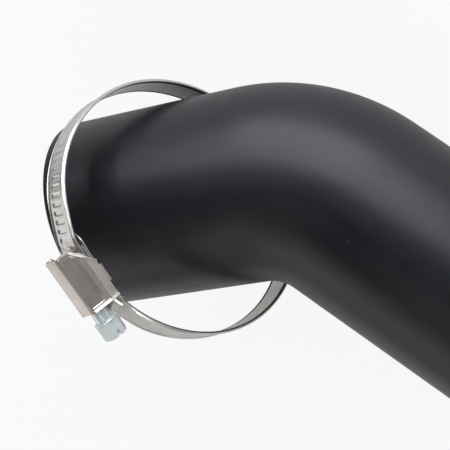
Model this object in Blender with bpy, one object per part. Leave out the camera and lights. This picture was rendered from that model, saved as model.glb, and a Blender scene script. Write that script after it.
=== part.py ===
"""Moulded rubber air pipe with a worm-drive clamp hung loose round its inlet end.

Lengths are in metres. The pipe is laid out with its inlet centre at the origin, its
inlet leg along +X and its bend towards -Y. The clamp is laid out in its own frame,
with the loop in the local XY plane, and then placed round the inlet leg.
At the end everything is turned to the attitude it rests in on a level floor.
"""

import math

import bmesh
import bpy
import numpy as np
from mathutils import Matrix, Vector

# Pipe
INLET_BORE = 0.058
OUTLET_BORE = 0.0556
PIPE_WALL = 0.005
INLET_LEG = 0.0595
BEND_RADIUS = 0.0459
BEND_DEG = 44.6
OUTLET_LEG = 0.116
INLET_SKEW_SIDE_DEG = 4.5
INLET_SKEW_TOP_DEG = 6.6
LIP_ROUND = 0.0012

# Clamp loop, over its outer face, and band strip
LOOP_LONG = 0.1036
LOOP_SHORT = 0.0897
BAND_WIDTH = 0.0097
BAND_THICK = 0.0007
BAND_EDGE_RISE = 0.0004
BAND_EDGE_WIDTH = 0.0011
LAYER_GAP = 0.00035
TAIL_LENGTH = 0.0035
MOUTH_SET_BACK = 0.001
FREE_RISE = 0.012
EDGE_RISE_START = 0.004
EDGE_RISE_LENGTH = 0.006
STRAIGHT_SET_BACK = 0.0012
BLEND_LENGTH = 0.005

# Pressed thread in the band and the worm that drives it
THREAD_PITCH = 0.0028
THREAD_DEPTH = 0.00035
THREAD_SLOT_LENGTH = 0.0050
THREAD_SLOTS = 20
THREAD_END_MARGIN = 0.0016
THREAD_LEAD_IN = 0.002
THREAD_FADE = 0.0012
WORM_CREST = 0.0064
WORM_ROOT = 0.0047
WORM_LENGTH = 0.0118
MESH_CLEARANCE = 0.0003

# Screw outside the worm
TIP_LENGTH = 0.0010
TIP_CHAMFER = 0.0004
NECK_STEP = 0.0003
NECK_DIAMETER = 0.0059
NECK_LENGTH = 0.0045
WASHER_DIAMETER = 0.0080
WASHER_THICK = 0.0005
HEAD_FLATS = 0.0070
HEAD_LENGTH = 0.0056
HEAD_CHAMFER = 0.0005
SLOT_WIDTH = 0.0011
SLOT_DEPTH = 0.0020
HEAD_TURN_DEG = 105.0
EDGE_BREAK = 0.0002

# Housing and the saddle plate under it
HOUSING_ANGLE_DEG = 31.0
HOUSING_TILT_DEG = -1.5
HOUSING_SINK = 0.0010
HOUSING_LENGTH = 0.0195
HOUSING_HEIGHT = 0.0093
HOUSING_TOP_WIDTH = 0.0062
HOUSING_BASE_WIDTH = 0.0119
HOUSING_SKIRT = 0.0007
HOUSING_SHEET = 0.0006
CREASE_HEIGHT = 0.0024
CREASE_DEPTH = 0.0003
CREASE_BELOW = 0.0006
CREASE_ABOVE = 0.0012
FOLD_RADIUS = 0.0007
ROOF_FOLD = 0.0013
END_FLARE = 0.0005
END_FLARE_LENGTH = 0.0012
CORNER_CUT_HEIGHT = 0.0054
CORNER_CUT_LENGTH = 0.0070
HOOK_BACK_INSET = 0.0006
HOOK_FRONT_INSET = 0.0049
HOOK_REACH = 0.0026
SADDLE_THICK = 0.0006
SADDLE_WIDTH = 0.0099
SADDLE_TONGUE = 0.0042
TONGUE_DROP = 0.0011
SADDLE_HEAD_END = 0.0034
SADDLE_CORNER = 0.0008

# Placing of the clamp round the pipe
CLAMP_INSET = 0.0362
CLAMP_SIDE = -0.0034
CLAMP_LEAN_DEG = 26.8
CLAMP_SWING_DEG = 10.4
CLAMP_SPIN_DEG = 74.5
CONTACT_GAP = 0.0003

# Weights per volume, only used to find which way up the object rests
RUBBER_DENSITY = 1200.0
STEEL_DENSITY = 7850.0

# How finely the surfaces are divided
PIPE_SIDES = 48
BEND_STEPS = 12
SCREW_SIDES = 24
LOOP_STEPS = 1440
PLAIN_STEP = 0.0052
NEAR_LENGTH = 0.009
NEAR_STEPS = 20
SADDLE_STEPS = 16
THREAD_ROWS_PER_PITCH = 10


def clear_scene():
    for item in list(bpy.data.objects):
        bpy.data.objects.remove(item, do_unlink=True)


def material(name, colour, metallic, roughness):
    made = bpy.data.materials.new(name)
    made.use_nodes = True
    shader = made.node_tree.nodes["Principled BSDF"]
    shader.inputs["Base Color"].default_value = (*colour, 1.0)
    shader.inputs["Metallic"].default_value = metallic
    shader.inputs["Roughness"].default_value = roughness
    return made


def add_object(name, bm, skin, matrix, sharp_deg):
    bmesh.ops.recalc_face_normals(bm, faces=bm.faces[:])
    mesh = bpy.data.meshes.new(name)
    bm.to_mesh(mesh)
    bm.free()
    for face in mesh.polygons:
        face.use_smooth = True
    mesh.set_sharp_from_angle(angle=math.radians(sharp_deg))
    made = bpy.data.objects.new(name, mesh)
    if skin is not None:
        mesh.materials.append(skin)
    made.matrix_world = matrix
    bpy.context.scene.collection.objects.link(made)
    return made


def skin_rings(rings, closed):
    """A surface through rings of points: closed on itself, or with both ends capped."""
    bm = bmesh.new()
    rows = [[bm.verts.new(point) for point in ring] for ring in rings]
    count = len(rows[0])
    pairs = list(zip(rows, rows[1:]))
    if closed:
        pairs.append((rows[-1], rows[0]))
    for low, high in pairs:
        for i in range(count):
            j = (i + 1) % count
            bm.faces.new((low[i], low[j], high[j], high[i]))
    if not closed:
        bm.faces.new(rows[0])
        bm.faces.new(rows[-1][::-1])
    return bm


def smooth_step(value):
    value = min(max(value, 0.0), 1.0)
    return value * value * (3.0 - 2.0 * value)


# Pipe


def pipe_stations():
    """Centre, direction and share of the way along, for each cross-section."""
    bend = math.radians(BEND_DEG)
    along = Vector((1, 0, 0))
    stations = [(Vector((0, 0, 0)), along), (Vector((INLET_LEG / 2, 0, 0)), along)]
    for step in range(BEND_STEPS + 1):
        turn = bend * step / BEND_STEPS
        x = INLET_LEG + BEND_RADIUS * math.sin(turn)
        y = -BEND_RADIUS * (1.0 - math.cos(turn))
        stations.append((Vector((x, y, 0)), Vector((math.cos(turn), -math.sin(turn), 0))))
    last, way = stations[-1]
    stations.append((last + way * OUTLET_LEG / 2, way))
    stations.append((last + way * OUTLET_LEG, way))
    return stations


def pipe_bore(index, count):
    """The bore narrows evenly along the outlet leg, which is the last two spans."""
    share = max(0, index - (count - 3)) / 2
    return INLET_BORE + (OUTLET_BORE - INLET_BORE) * share


def pipe_ring(centre, way, radius, shift):
    side = Vector((0, 0, 1)).cross(way)
    points = []
    for i in range(PIPE_SIDES):
        angle = 2 * math.pi * i / PIPE_SIDES
        around = side * math.cos(angle) + Vector((0, 0, math.sin(angle)))
        points.append(centre + way * shift + around * radius)
    return points


def skew_inlet(points):
    """Slides the points of an inlet ring along the leg on to the slanted cut."""
    side = math.tan(math.radians(INLET_SKEW_SIDE_DEG))
    top = math.tan(math.radians(INLET_SKEW_TOP_DEG))
    return [Vector((p.x - side * p.y - top * p.z, p.y, p.z)) for p in points]


def make_pipe(skin):
    stations = pipe_stations()
    count = len(stations)
    outer = []
    inner = []
    for index, (centre, way) in enumerate(stations):
        bore = pipe_bore(index, count)
        outer.append([centre, way, bore / 2 + PIPE_WALL])
        inner.append([centre, way, bore / 2])
    # Each lip is a quarter round at the outer and at the inner edge.
    arc = []
    for degrees in (0, 30, 60, 90):
        turn = math.radians(degrees)
        arc.append((LIP_ROUND * (1 - math.sin(turn)), LIP_ROUND * (1 - math.cos(turn))))
    rings = []
    first, way, radius = outer[0]
    for along, drop in arc[::-1]:
        rings.append(skew_inlet(pipe_ring(first, way, radius - drop, along)))
    for centre, way, radius in outer[1:-1]:
        rings.append(pipe_ring(centre, way, radius, 0))
    last, way, radius = outer[-1]
    for along, drop in arc:
        rings.append(pipe_ring(last, way, radius - drop, -along))
    last, way, radius = inner[-1]
    for along, drop in arc[::-1]:
        rings.append(pipe_ring(last, way, radius + drop, -along))
    for centre, way, radius in inner[1:-1][::-1]:
        rings.append(pipe_ring(centre, way, radius, 0))
    first, way, radius = inner[0]
    for along, drop in arc:
        rings.append(skew_inlet(pipe_ring(first, way, radius + drop, along)))
    return add_object("air_pipe", skin_rings(rings, True), skin, Matrix(), 50)


# Clamp loop

STRAIGHT_HALF = HOUSING_LENGTH / 2 - STRAIGHT_SET_BACK


def loop_table():
    """Angles round the ellipse and the length along it from the housing's middle."""
    middle = math.radians(HOUSING_ANGLE_DEG)
    angles = middle + np.linspace(-math.pi, math.pi, LOOP_STEPS + 1)
    x = LOOP_LONG / 2 * np.cos(angles)
    y = LOOP_SHORT / 2 * np.sin(angles)
    lengths = np.concatenate([[0.0], np.cumsum(np.hypot(np.diff(x), np.diff(y)))])
    return angles, lengths - lengths[LOOP_STEPS // 2]


ANGLES, LENGTHS = loop_table()
LOOP_LENGTH = float(LENGTHS[-1] - LENGTHS[0])


def housing_axes():
    """The middle of the housing's base, and the directions along it and outwards."""
    middle = math.radians(HOUSING_ANGLE_DEG)
    centre = Vector((LOOP_LONG / 2 * math.cos(middle), LOOP_SHORT / 2 * math.sin(middle), 0))
    along = Vector((-LOOP_LONG * math.sin(middle), LOOP_SHORT * math.cos(middle), 0)).normalized()
    along.rotate(Matrix.Rotation(math.radians(HOUSING_TILT_DEG), 3, "Z"))
    out = Vector((along.y, -along.x, 0))
    return centre - out * HOUSING_SINK, along, out


HOUSING_CENTRE, HOUSING_ALONG, HOUSING_OUT = housing_axes()


def loop_point(length):
    """A point of the loop's outer face: straight under the housing, elliptical elsewhere."""
    length = (length + LOOP_LENGTH / 2) % LOOP_LENGTH - LOOP_LENGTH / 2
    angle = float(np.interp(length, LENGTHS, ANGLES))
    round_point = Vector((LOOP_LONG / 2 * math.cos(angle), LOOP_SHORT / 2 * math.sin(angle), 0))
    flat_point = HOUSING_CENTRE + HOUSING_ALONG * length
    share = smooth_step((abs(length) - STRAIGHT_HALF) / BLEND_LENGTH)
    return flat_point.lerp(round_point, share)


def loop_out(length):
    """The direction outwards from the loop there."""
    step = 0.0002
    way = (loop_point(length + step) - loop_point(length - step)).normalized()
    return Vector((way.y, -way.x, 0))


def strip_point(length, across, height):
    """A point by its length along the loop, place across the band and height off its outer face."""
    return loop_point(length) + loop_out(length) * height + Vector((0, 0, across))


# Band

FREE_START = LOOP_LENGTH - HOUSING_LENGTH / 2 + MOUTH_SET_BACK
BAND_START = -HOUSING_LENGTH / 2 + MOUTH_SET_BACK
BAND_END = LOOP_LENGTH + HOUSING_LENGTH / 2 + TAIL_LENGTH
LEAD = THREAD_PITCH / (math.pi * (WORM_CREST + WORM_ROOT) / 2)


def layer_height(length):
    """How far the threaded end rides above the plain end where the two overlap."""
    return (BAND_THICK + LAYER_GAP) * smooth_step((length - FREE_START + FREE_RISE) / FREE_RISE)


def band_stations():
    """Length along the strip, thread depth there, and whether the slot lines slant there."""
    thread_start = BAND_END - THREAD_END_MARGIN - THREAD_SLOTS * THREAD_PITCH
    stations = []
    near = HOUSING_LENGTH / 2 + NEAR_LENGTH
    for i in range(NEAR_STEPS):
        stations.append((BAND_START + (near - BAND_START) * i / NEAR_STEPS, 0.0, 0.0))
    plain = thread_start - THREAD_LEAD_IN - near
    steps = max(8, round(plain / PLAIN_STEP))
    for i in range(steps + 1):
        stations.append((near + plain * i / steps, 0.0, 0.0))
    for i in range(THREAD_SLOTS):
        start = thread_start + i * THREAD_PITCH
        for share, depth in ((0.20, 0.0), (0.36, 1.0), (0.64, 1.0), (0.80, 0.0)):
            stations.append((start + share * THREAD_PITCH, depth, 1.0))
    stations.append((BAND_END, 0.0, 0.0))
    return stations


def band_section(length, depth, slant):
    half = BAND_WIDTH / 2
    slot = THREAD_SLOT_LENGTH / 2
    raised = smooth_step((length - HOUSING_LENGTH / 2 - EDGE_RISE_START) / EDGE_RISE_LENGTH)
    rise = BAND_EDGE_RISE * raised
    crest = half - BAND_EDGE_WIDTH / 2
    foot = half - BAND_EDGE_WIDTH
    soft = BAND_THICK / 4
    floor = slot - THREAD_DEPTH
    base = layer_height(length)
    outline = [
        (-half, -soft),
        (-crest, rise),
        (-foot, 0.0),
        (-slot, 0.0),
        (-floor, -depth * THREAD_DEPTH),
        (0.0, -depth * THREAD_DEPTH),
        (floor, -depth * THREAD_DEPTH),
        (slot, 0.0),
        (foot, 0.0),
        (crest, rise),
        (half, -soft),
        (half, -BAND_THICK + soft),
        (crest, rise - BAND_THICK),
        (foot, -BAND_THICK),
        (-foot, -BAND_THICK),
        (-crest, rise - BAND_THICK),
        (-half, -BAND_THICK + soft),
    ]
    points = []
    for across, height in outline:
        lean = slant * LEAD * max(-slot, min(slot, across))
        points.append(strip_point(length + lean, across, base + height))
    return points


def make_band(skin, placing):
    rings = [band_section(*station) for station in band_stations()]
    return add_object("clamp_band", skin_rings(rings, False), skin, placing, 40)


# Saddle plate

SADDLE_TOP = -BAND_THICK - LAYER_GAP


def saddle_stations():
    half = SADDLE_WIDTH / 2
    tongue_end = -HOUSING_LENGTH / 2 - SADDLE_TONGUE
    head_end = HOUSING_LENGTH / 2 + SADDLE_HEAD_END
    stations = []
    for turn in (6, 30, 55, 75, 90):
        share = math.sin(math.radians(turn))
        stations.append((tongue_end + half * (1 - math.cos(math.radians(turn))), half * share))
    start = tongue_end + half
    stop = head_end - SADDLE_CORNER
    for step in range(1, SADDLE_STEPS + 1):
        stations.append((start + (stop - start) * step / SADDLE_STEPS, half))
    stations.append((head_end, half - SADDLE_CORNER))
    return stations


def make_saddle(skin, placing):
    edge = SADDLE_THICK / 4
    rings = []
    for length, half in saddle_stations():
        outline = (
            (-half, SADDLE_TOP - edge),
            (-half + edge, SADDLE_TOP),
            (half - edge, SADDLE_TOP),
            (half, SADDLE_TOP - edge),
            (half, SADDLE_TOP - SADDLE_THICK + edge),
            (half - edge, SADDLE_TOP - SADDLE_THICK),
            (-half + edge, SADDLE_TOP - SADDLE_THICK),
            (-half, SADDLE_TOP - SADDLE_THICK + edge),
        )
        share = (-HOUSING_LENGTH / 4 - length) / (HOUSING_LENGTH / 4 + SADDLE_TONGUE)
        drop = TONGUE_DROP * smooth_step(share)
        rings.append([strip_point(length, across, height - drop) for across, height in outline])
    return add_object("clamp_saddle", skin_rings(rings, False), skin, placing, 40)


# Housing, folded from sheet


def housing_outline():
    """Half of the outer section, from the hook under the saddle up to the top's middle."""
    base = HOUSING_BASE_WIDTH / 2
    top = HOUSING_TOP_WIDTH / 2
    foot = -HOUSING_SKIRT
    hook = SADDLE_TOP - SADDLE_THICK - MESH_CLEARANCE - HOUSING_SHEET
    crease = base - CREASE_DEPTH
    wall_foot = CREASE_HEIGHT + CREASE_ABOVE
    cut_share = (CORNER_CUT_HEIGHT - wall_foot) / (HOUSING_HEIGHT - wall_foot)
    return [
        (base - HOOK_REACH, hook),
        (base - FOLD_RADIUS, hook),
        (base, hook + FOLD_RADIUS),
        (base, foot),
        (base, CREASE_HEIGHT - CREASE_BELOW),
        (crease, CREASE_HEIGHT),
        (crease - CREASE_DEPTH, wall_foot),
        (crease - CREASE_DEPTH + (top - crease + CREASE_DEPTH) * cut_share, CORNER_CUT_HEIGHT),
        (top + ROOF_FOLD / 3, HOUSING_HEIGHT - ROOF_FOLD),
        (top, HOUSING_HEIGHT - ROOF_FOLD / 3),
        (top - ROOF_FOLD * 2 / 3, HOUSING_HEIGHT),
        (0.0, HOUSING_HEIGHT),
    ]


def make_housing(skin, placing):
    half_outline = housing_outline()
    outline = half_outline + [(-a, h) for a, h in half_outline[-2::-1]]
    end = HOUSING_LENGTH / 2
    flare = END_FLARE_LENGTH
    hook_back = -end + flare + CORNER_CUT_LENGTH + HOOK_BACK_INSET
    hook_front = end - HOOK_FRONT_INSET
    rows = (-end, -end + flare, hook_back, hook_front, end - flare, end)
    bm = bmesh.new()
    grid = {}
    last = len(outline) - 1
    for i, (across, height) in enumerate(outline):
        level = min(i, last - i)
        for j, along in enumerate(rows):
            grow = END_FLARE if j in (0, len(rows) - 1) else 0.0
            wide = across + math.copysign(grow, across) if level > 2 and across else across
            tall = height + (grow if level > 8 else 0.0)
            # The skirts start further back than the roof, behind a slanted corner.
            if j < 2:
                below = (CORNER_CUT_HEIGHT - height) / (CORNER_CUT_HEIGHT + HOUSING_SKIRT)
                along += CORNER_CUT_LENGTH * max(0.0, below)
            grid[i, j] = bm.verts.new((along, wide, tall))
    for i in range(last):
        level = min(i, last - 1 - i)
        for j in range(len(rows) - 1):
            if level < 3 and j != 2:
                continue
            corners = (grid[i, j], grid[i + 1, j], grid[i + 1, j + 1], grid[i, j + 1])
            bm.faces.new(corners)
    for vert in [v for v in bm.verts if not v.link_faces]:
        bm.verts.remove(vert)
    frame = Matrix.Identity(4)
    side = Vector((0, 0, 1))
    for row in range(3):
        frame[row][0] = HOUSING_ALONG[row]
        frame[row][1] = side[row]
        frame[row][2] = HOUSING_OUT[row]
        frame[row][3] = HOUSING_CENTRE[row]
    bmesh.ops.remove_doubles(bm, verts=bm.verts[:], dist=0.00001)
    bm.transform(frame)
    cover = add_object("clamp_housing", bm, skin, placing, 30)
    sheet = cover.modifiers.new("sheet", "SOLIDIFY")
    sheet.thickness = HOUSING_SHEET
    sheet.offset = -1.0
    sheet.use_even_offset = True
    sheet.use_quality_normals = True
    return cover


# Screw

SCREW_HEIGHT = BAND_THICK + LAYER_GAP + MESH_CLEARANCE + WORM_CREST / 2
WORM_START = -WORM_LENGTH / 2


def worm_radius(along, angle):
    """Trapezoid thread on a straight root, fading out at both ends."""
    root = WORM_ROOT / 2
    depth = (WORM_CREST - WORM_ROOT) / 2
    phase = (along / THREAD_PITCH - angle / (2 * math.pi)) % 1.0
    ridge = min(max((0.32 - abs(phase - 0.5)) / 0.16, 0.0), 1.0)
    start = WORM_START
    stop = WORM_START + WORM_LENGTH
    fade = smooth_step((along - start) / THREAD_FADE) * smooth_step((stop - along) / THREAD_FADE)
    return root + depth * ridge * fade


def hexagon_radius(angle):
    third = math.pi / 3
    return HEAD_FLATS / 2 / math.cos((angle + third / 2) % third - third / 2)


def screw_rows():
    """Place along the screw, radius if round, and how much of the hexagon shows there."""
    tip = WORM_START - TIP_LENGTH
    worm_stop = WORM_START + WORM_LENGTH
    neck = NECK_DIAMETER / 2
    shoulder = HOUSING_LENGTH / 2 + NECK_LENGTH
    washer = WASHER_DIAMETER / 2
    head = shoulder + WASHER_THICK
    end = head + HEAD_LENGTH
    root = WORM_ROOT / 2
    rows = [(tip, root - TIP_CHAMFER, "round"), (tip + TIP_CHAMFER, root, "round")]
    count = round(WORM_LENGTH / THREAD_PITCH * THREAD_ROWS_PER_PITCH)
    for i in range(count + 1):
        rows.append((WORM_START + WORM_LENGTH * i / count, 0.0, "thread"))
    rows += [
        (worm_stop + NECK_STEP, neck, "round"),
        (shoulder, neck, "round"),
        (shoulder, washer - EDGE_BREAK, "round"),
        (shoulder + EDGE_BREAK, washer, "round"),
        (head - EDGE_BREAK, washer, "round"),
        (head, washer - EDGE_BREAK, "round"),
        (head, 0.0, "hexagon"),
        (end - HEAD_CHAMFER, 0.0, "hexagon"),
        (end, HEAD_FLATS / 2 - HEAD_CHAMFER, "round"),
    ]
    return rows, end


def make_screw(skin, placing):
    rows, end = screw_rows()
    rings = []
    for along, radius, kind in rows:
        ring = []
        for i in range(SCREW_SIDES):
            angle = 2 * math.pi * i / SCREW_SIDES
            reach = radius
            if kind == "thread":
                reach = worm_radius(along, angle)
            elif kind == "hexagon":
                reach = hexagon_radius(angle)
            ring.append((reach * math.cos(angle), reach * math.sin(angle), along))
        rings.append(ring)
    axis = HOUSING_CENTRE + HOUSING_OUT * SCREW_HEIGHT
    turn = Matrix.Rotation(math.radians(HEAD_TURN_DEG), 4, "Z")
    frame = Matrix.Identity(4)
    side = HOUSING_ALONG.cross(HOUSING_OUT)
    for row in range(3):
        frame[row][0] = HOUSING_OUT[row]
        frame[row][1] = side[row]
        frame[row][2] = HOUSING_ALONG[row]
        frame[row][3] = axis[row]
    frame = placing @ frame @ turn
    screw = add_object("clamp_screw", skin_rings(rings, False), skin, frame, 35)
    slot = bmesh.new()
    bmesh.ops.create_cube(slot, size=1.0)
    size = Matrix.Diagonal((HEAD_FLATS * 1.5, SLOT_WIDTH, SLOT_DEPTH * 2, 1.0))
    bmesh.ops.transform(slot, matrix=Matrix.Translation((0, 0, end)) @ size, verts=slot.verts[:])
    cutter = add_object("slot_cutter", slot, None, frame, 35)
    cutter.hide_render = True
    cutter.display_type = "WIRE"
    cut = screw.modifiers.new("slot", "BOOLEAN")
    cut.operation = "DIFFERENCE"
    cut.solver = "EXACT"
    cut.object = cutter
    return screw


# Placing

LAID_FLAT = 0.8


def clamp_turn():
    """Turns the loop, whose axis is local Z, so that its axis leans over the inlet leg."""
    lean = math.radians(CLAMP_LEAN_DEG)
    swing = Matrix.Rotation(math.radians(CLAMP_SWING_DEG), 4, "Z")
    tip = Matrix.Rotation(-lean, 4, "Y")
    spin = Matrix.Rotation(math.radians(CLAMP_SPIN_DEG), 4, "X")
    # Local Z goes to +X, local X to +Y and local Y to +Z.
    stand = Matrix(((0, 0, 1, 0), (1, 0, 0, 0), (0, 1, 0, 0), (0, 0, 0, 1)))
    return swing @ tip @ spin @ stand


def pipe_gap(points):
    """The smallest distance from the points to the pipe's outer face, minus when inside it."""
    bend = [centre for centre, _ in pipe_stations()]
    side = math.tan(math.radians(INLET_SKEW_SIDE_DEG))
    top = math.tan(math.radians(INLET_SKEW_TOP_DEG))
    radius = INLET_BORE / 2 + PIPE_WALL
    smallest = 1.0
    for p in points:
        if p.x + side * p.y + top * p.z < 0:
            continue
        for a, b in zip(bend, bend[1:-2]):
            share = min(max((p - a).dot(b - a) / (b - a).length_squared, 0.0), 1.0)
            smallest = min(smallest, (p - a.lerp(b, share)).length - radius)
    return smallest


def clamp_placing():
    """Lifts the loop until the inside of its lower part just meets the pipe."""
    turn = clamp_turn()
    points = []
    for i in range(180):
        for across in (-BAND_WIDTH / 2, 0.0, BAND_WIDTH / 2):
            points.append(turn @ strip_point(LOOP_LENGTH * i / 180, across, -BAND_THICK))
    base = Vector((CLAMP_INSET, CLAMP_SIDE, 0))
    low, high = 0.0, LOOP_LONG / 4
    for _ in range(30):
        middle = (low + high) / 2
        if pipe_gap([p + base + Vector((0, 0, middle)) for p in points]) > CONTACT_GAP:
            low = middle
        else:
            high = middle
    return Matrix.Translation(base + Vector((0, 0, low))) @ turn


def weight_centre(items):
    """Centre of weight of the pieces, from the volume each one holds."""
    total = 0.0
    moment = Vector((0, 0, 0))
    for item, density in items:
        item.data.calc_loop_triangles()
        points = [item.matrix_world @ v.co for v in item.data.vertices]
        for tri in item.data.loop_triangles:
            a, b, c = (points[i] for i in tri.vertices)
            weight = a.dot(b.cross(c)) / 6 * density
            total += weight
            moment += (a + b + c) / 4 * weight
    return moment / total


def resting_turn(items):
    """The turn that lays the object on the flat of its hull where its weight is lowest and inside."""
    centre = weight_centre(items)
    bm = bmesh.new()
    for item, _ in items:
        for vert in item.data.vertices:
            bm.verts.new(item.matrix_world @ vert.co)
    bmesh.ops.convex_hull(bm, input=bm.verts[:])
    bm.normal_update()
    lowest = None
    for face in bm.faces:
        if face.normal.z > -LAID_FLAT:
            continue
        inside = True
        for loop in face.loops:
            start = loop.vert.co
            edge = loop.link_loop_next.vert.co - start
            if edge.cross(centre - start).dot(face.normal) < 0:
                inside = False
        height = (face.verts[0].co - centre).dot(face.normal)
        if inside and (lowest is None or height < lowest):
            lowest = height
            down = face.normal.copy()
    bm.free()
    return down.rotation_difference(Vector((0, 0, -1))).to_matrix().to_4x4()


def outer_box(items, turn):
    """Lowest and highest corner of the turned pieces, with their folds and cuts made."""
    graph = bpy.context.evaluated_depsgraph_get()
    corners = []
    for item in items:
        whole = item.evaluated_get(graph)
        mesh = whole.to_mesh()
        corners += [turn @ item.matrix_world @ v.co for v in mesh.vertices]
        whole.to_mesh_clear()
    return np.min(corners, axis=0), np.max(corners, axis=0)


def main():
    clear_scene()
    rubber = material("black_rubber", (0.012, 0.012, 0.014), 0.0, 0.45)
    strip_steel = material("bright_strip_steel", (0.62, 0.60, 0.57), 1.0, 0.30)
    saddle_steel = material("saddle_steel", (0.58, 0.56, 0.53), 1.0, 0.35)
    cover_steel = material("cover_steel", (0.55, 0.52, 0.49), 1.0, 0.28)
    zinc = material("zinc_plated_steel", (0.66, 0.70, 0.71), 1.0, 0.32)
    placing = clamp_placing()
    pipe = make_pipe(rubber)
    band = make_band(strip_steel, placing)
    saddle = make_saddle(saddle_steel, placing)
    housing = make_housing(cover_steel, placing)
    screw = make_screw(zinc, placing)
    bpy.context.view_layer.update()
    steel = [(band, STEEL_DENSITY), (saddle, STEEL_DENSITY), (screw, STEEL_DENSITY)]
    rest = resting_turn([(pipe, RUBBER_DENSITY)] + steel)
    low, high = outer_box([pipe, band, saddle, housing, screw], rest)
    settle = Matrix.Translation((-(low[0] + high[0]) / 2, -(low[1] + high[1]) / 2, -low[2])) @ rest
    for item in bpy.data.objects:
        item.matrix_world = settle @ item.matrix_world
    bpy.context.view_layer.update()


main()
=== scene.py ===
# %% [markdown]
# The object is a moulded rubber air pipe with a worm-drive clamp hung loose round its end.
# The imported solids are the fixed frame. This script gives each of them a finer surface
# made from the same sizes, and a finish made only from shader nodes.

import math

import bmesh
import bpy
import numpy as np
from mathutils import Euler, Matrix, Vector


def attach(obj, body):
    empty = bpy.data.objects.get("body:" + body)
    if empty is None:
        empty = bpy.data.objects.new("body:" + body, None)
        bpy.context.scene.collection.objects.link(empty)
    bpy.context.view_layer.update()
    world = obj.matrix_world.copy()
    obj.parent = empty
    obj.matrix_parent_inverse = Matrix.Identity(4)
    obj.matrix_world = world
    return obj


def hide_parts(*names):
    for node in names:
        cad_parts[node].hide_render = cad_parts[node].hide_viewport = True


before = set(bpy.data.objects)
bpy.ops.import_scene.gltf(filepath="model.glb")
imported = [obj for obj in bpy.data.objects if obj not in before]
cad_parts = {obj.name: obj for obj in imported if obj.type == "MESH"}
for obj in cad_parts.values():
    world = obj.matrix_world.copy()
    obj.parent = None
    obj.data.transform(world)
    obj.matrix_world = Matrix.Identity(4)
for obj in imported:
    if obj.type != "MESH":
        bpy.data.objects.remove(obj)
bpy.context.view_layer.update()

# %% [markdown]
# Sizes of the real object, in metres. They are the sizes that the solids were made with,
# so each finer surface lies where its solid lies. The trims keep a truly round surface
# inside the many-sided solid that it stands for.

# %% Sizes of the hose
INLET_BORE = 0.058
OUTLET_BORE = 0.0556
HOSE_WALL = 0.005
INLET_LEG = 0.0595
BEND_RADIUS = 0.0459
BEND_DEG = 44.6
OUTLET_LEG = 0.116
SKEW_SIDE = math.tan(math.radians(4.5))
SKEW_TOP = math.tan(math.radians(6.6))
LIP_ROUND = 0.0012
HOSE_TRIM = 0.00008
print("hose outside diameter", INLET_BORE + 2 * HOSE_WALL)

# %% Sizes of the clamp
LOOP_LONG = 0.1036
LOOP_SHORT = 0.0897
BAND_WIDTH = 0.0097
BAND_THICK = 0.0007
BAND_TRIM = 0.00008
EDGE_RISE = 0.0004
EDGE_WIDTH = 0.0011
SOLID_LAYER_GAP = 0.00035
LAYER_GAP = 0.0001
TAIL_LENGTH = 0.0035
MOUTH_SET_BACK = 0.001
FREE_RISE = 0.012
EDGE_RISE_START = 0.004
EDGE_RISE_LENGTH = 0.006
THREAD_PITCH = 0.0028
THREAD_DEPTH = 0.00018
THREAD_WIDTH = 0.0050
THREAD_SLOTS = 20
THREAD_END_MARGIN = 0.0016
WORM_CREST = 0.0064
WORM_ROOT = 0.0047
HOUSING_ANGLE_DEG = 31.0
HOUSING_TILT_DEG = -1.5
HOUSING_SINK = 0.0010
HOUSING_LENGTH = 0.0195
HOUSING_HEIGHT = 0.0093
HOUSING_TOP_WIDTH = 0.0062
HOUSING_BASE_WIDTH = 0.0119
HOUSING_SHEET = 0.0006
STRAIGHT_HALF = HOUSING_LENGTH / 2 - 0.0012
BLEND_LENGTH = 0.005
print("loop outside", LOOP_LONG, "by", LOOP_SHORT)

# %% [markdown]
# The hose is laid out along +X from its inlet and then turned to the way it lies at rest.
# The clamp is laid out flat, with its loop in the XY plane, and then leaned over the hose.
# Two matrices hold these placings, so that every piece can be made in its own plain layout.

# %% Placing of the hose and the clamp
HOSE_TURN_DEG = (-9.832, 10.3793, -0.8952)
HOSE_PLACE = Vector((-0.095846, 0.03769, 0.048301))
CLAMP_PLACE = Vector((0.0362, -0.0034, 0.008515))
CLAMP_LEAN_DEG = 26.8
CLAMP_SWING_DEG = 10.4
CLAMP_SPIN_DEG = 74.5


def turned(degrees, axis):
    return Matrix.Rotation(math.radians(degrees), 4, axis)


hose_turn = Euler([math.radians(angle) for angle in HOSE_TURN_DEG])
HOSE = Matrix.Translation(HOSE_PLACE) @ hose_turn.to_matrix().to_4x4()
STAND = Matrix(((0, 0, 1, 0), (1, 0, 0, 0), (0, 1, 0, 0), (0, 0, 0, 1)))
lean = turned(CLAMP_SWING_DEG, "Z") @ turned(-CLAMP_LEAN_DEG, "Y") @ turned(CLAMP_SPIN_DEG, "X")
CLAMP = HOSE @ Matrix.Translation(CLAMP_PLACE) @ lean @ STAND
print("clamp centre in the world", [round(value, 4) for value in CLAMP.translation])

# %% [markdown]
# Most pieces are drawn as rings of points that are joined into a skin. Each corner of a
# face also gets a flat place, in metres along and around the piece, as its UV. The brushed
# grain of rolled steel can then follow the strip round its loop.

# %% Helpers for meshes


def finish_mesh(name, bm, place, sharp_deg):
    bmesh.ops.recalc_face_normals(bm, faces=bm.faces[:])
    mesh = bpy.data.meshes.new(name)
    bm.to_mesh(mesh)
    bm.free()
    mesh.transform(place)
    for face in mesh.polygons:
        face.use_smooth = True
    mesh.set_sharp_from_angle(angle=math.radians(sharp_deg))
    made = bpy.data.objects.new(name, mesh)
    bpy.context.scene.collection.objects.link(made)
    return made


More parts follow.
